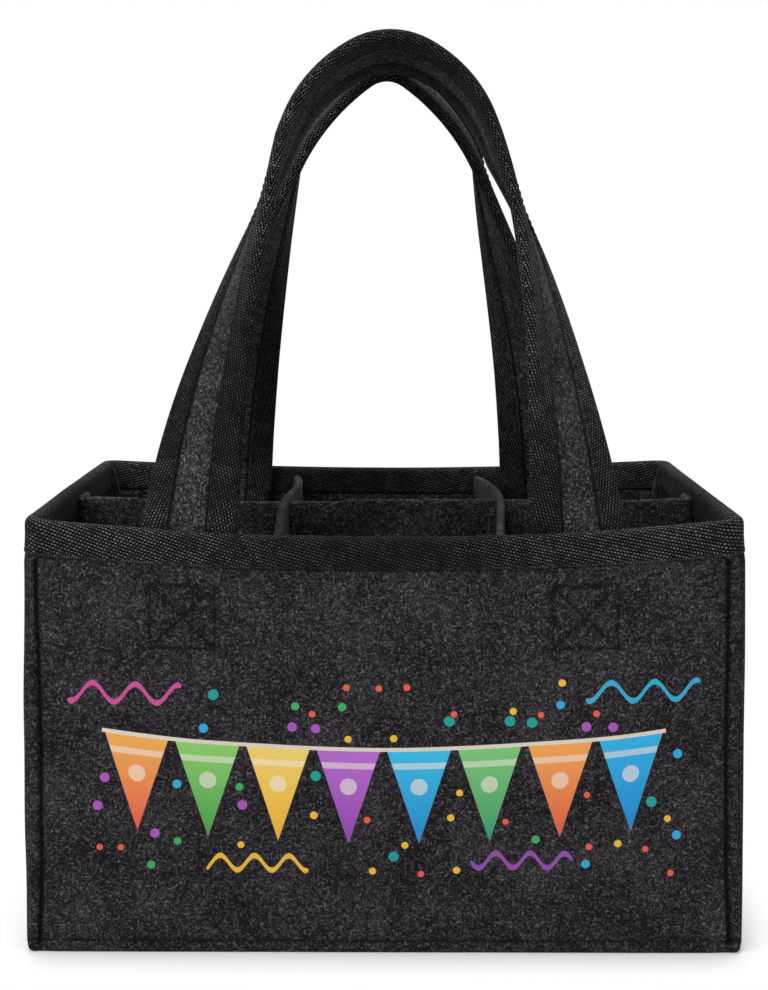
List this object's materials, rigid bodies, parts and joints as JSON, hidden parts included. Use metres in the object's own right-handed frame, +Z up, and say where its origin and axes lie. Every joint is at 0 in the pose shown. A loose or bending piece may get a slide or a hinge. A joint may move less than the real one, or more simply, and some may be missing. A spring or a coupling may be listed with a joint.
{
  "type": "bottle carrier",
  "caption": "Open-topped felt bottle carrier with slotted felt dividers, tape-bound rim and two twisted tape-edged strap handles that fold outward.",
  "frame": {"origin": "middle of the base's underside, on the table", "axes": "+X along the width to the right, +Y from the front panel to the back panel, +Z up to the handles"},
  "size_m": [0.2518, 0.1678, 0.3283],
  "materials": {
    "felt": "mottled charcoal felt",
    "tape": "black woven binding tape"
  },
  "bodies": {
    "carrier": {"front_panel": "felt", "back_panel": "felt", "left_side_panel": "felt", "right_side_panel": "felt", "base_panel": "felt", "long_divider": "felt", "left_cross_divider": "felt", "right_cross_divider": "felt", "rim_binding": "tape", "front_left_strap_end": "felt", "front_left_end_inner_tape": "tape", "front_left_end_outer_tape": "tape", "front_right_strap_end": "felt", "front_right_end_inner_tape": "tape", "front_right_end_outer_tape": "tape", "rear_left_strap_end": "felt", "rear_left_end_inner_tape": "tape", "rear_left_end_outer_tape": "tape", "rear_right_strap_end": "felt", "rear_right_end_inner_tape": "tape", "rear_right_end_outer_tape": "tape"},
    "front_handle": {"front_handle_strap": "felt", "front_handle_inner_tape": "tape", "front_handle_outer_tape": "tape"},
    "rear_handle": {"rear_handle_strap": "felt", "rear_handle_inner_tape": "tape", "rear_handle_outer_tape": "tape"}
  },
  "joints": [
    {"name": "front_handle_fold", "type": "hinge", "parent": "carrier", "child": "front_handle", "pos_m": [0, -0.0815, 0.1476], "axis": [1, 0, 0], "range_deg": [0, 150]},
    {"name": "rear_handle_fold", "type": "hinge", "parent": "carrier", "child": "rear_handle", "pos_m": [0, 0.0815, 0.1476], "axis": [-1, 0, 0], "range_deg": [0, 150]}
  ]
}
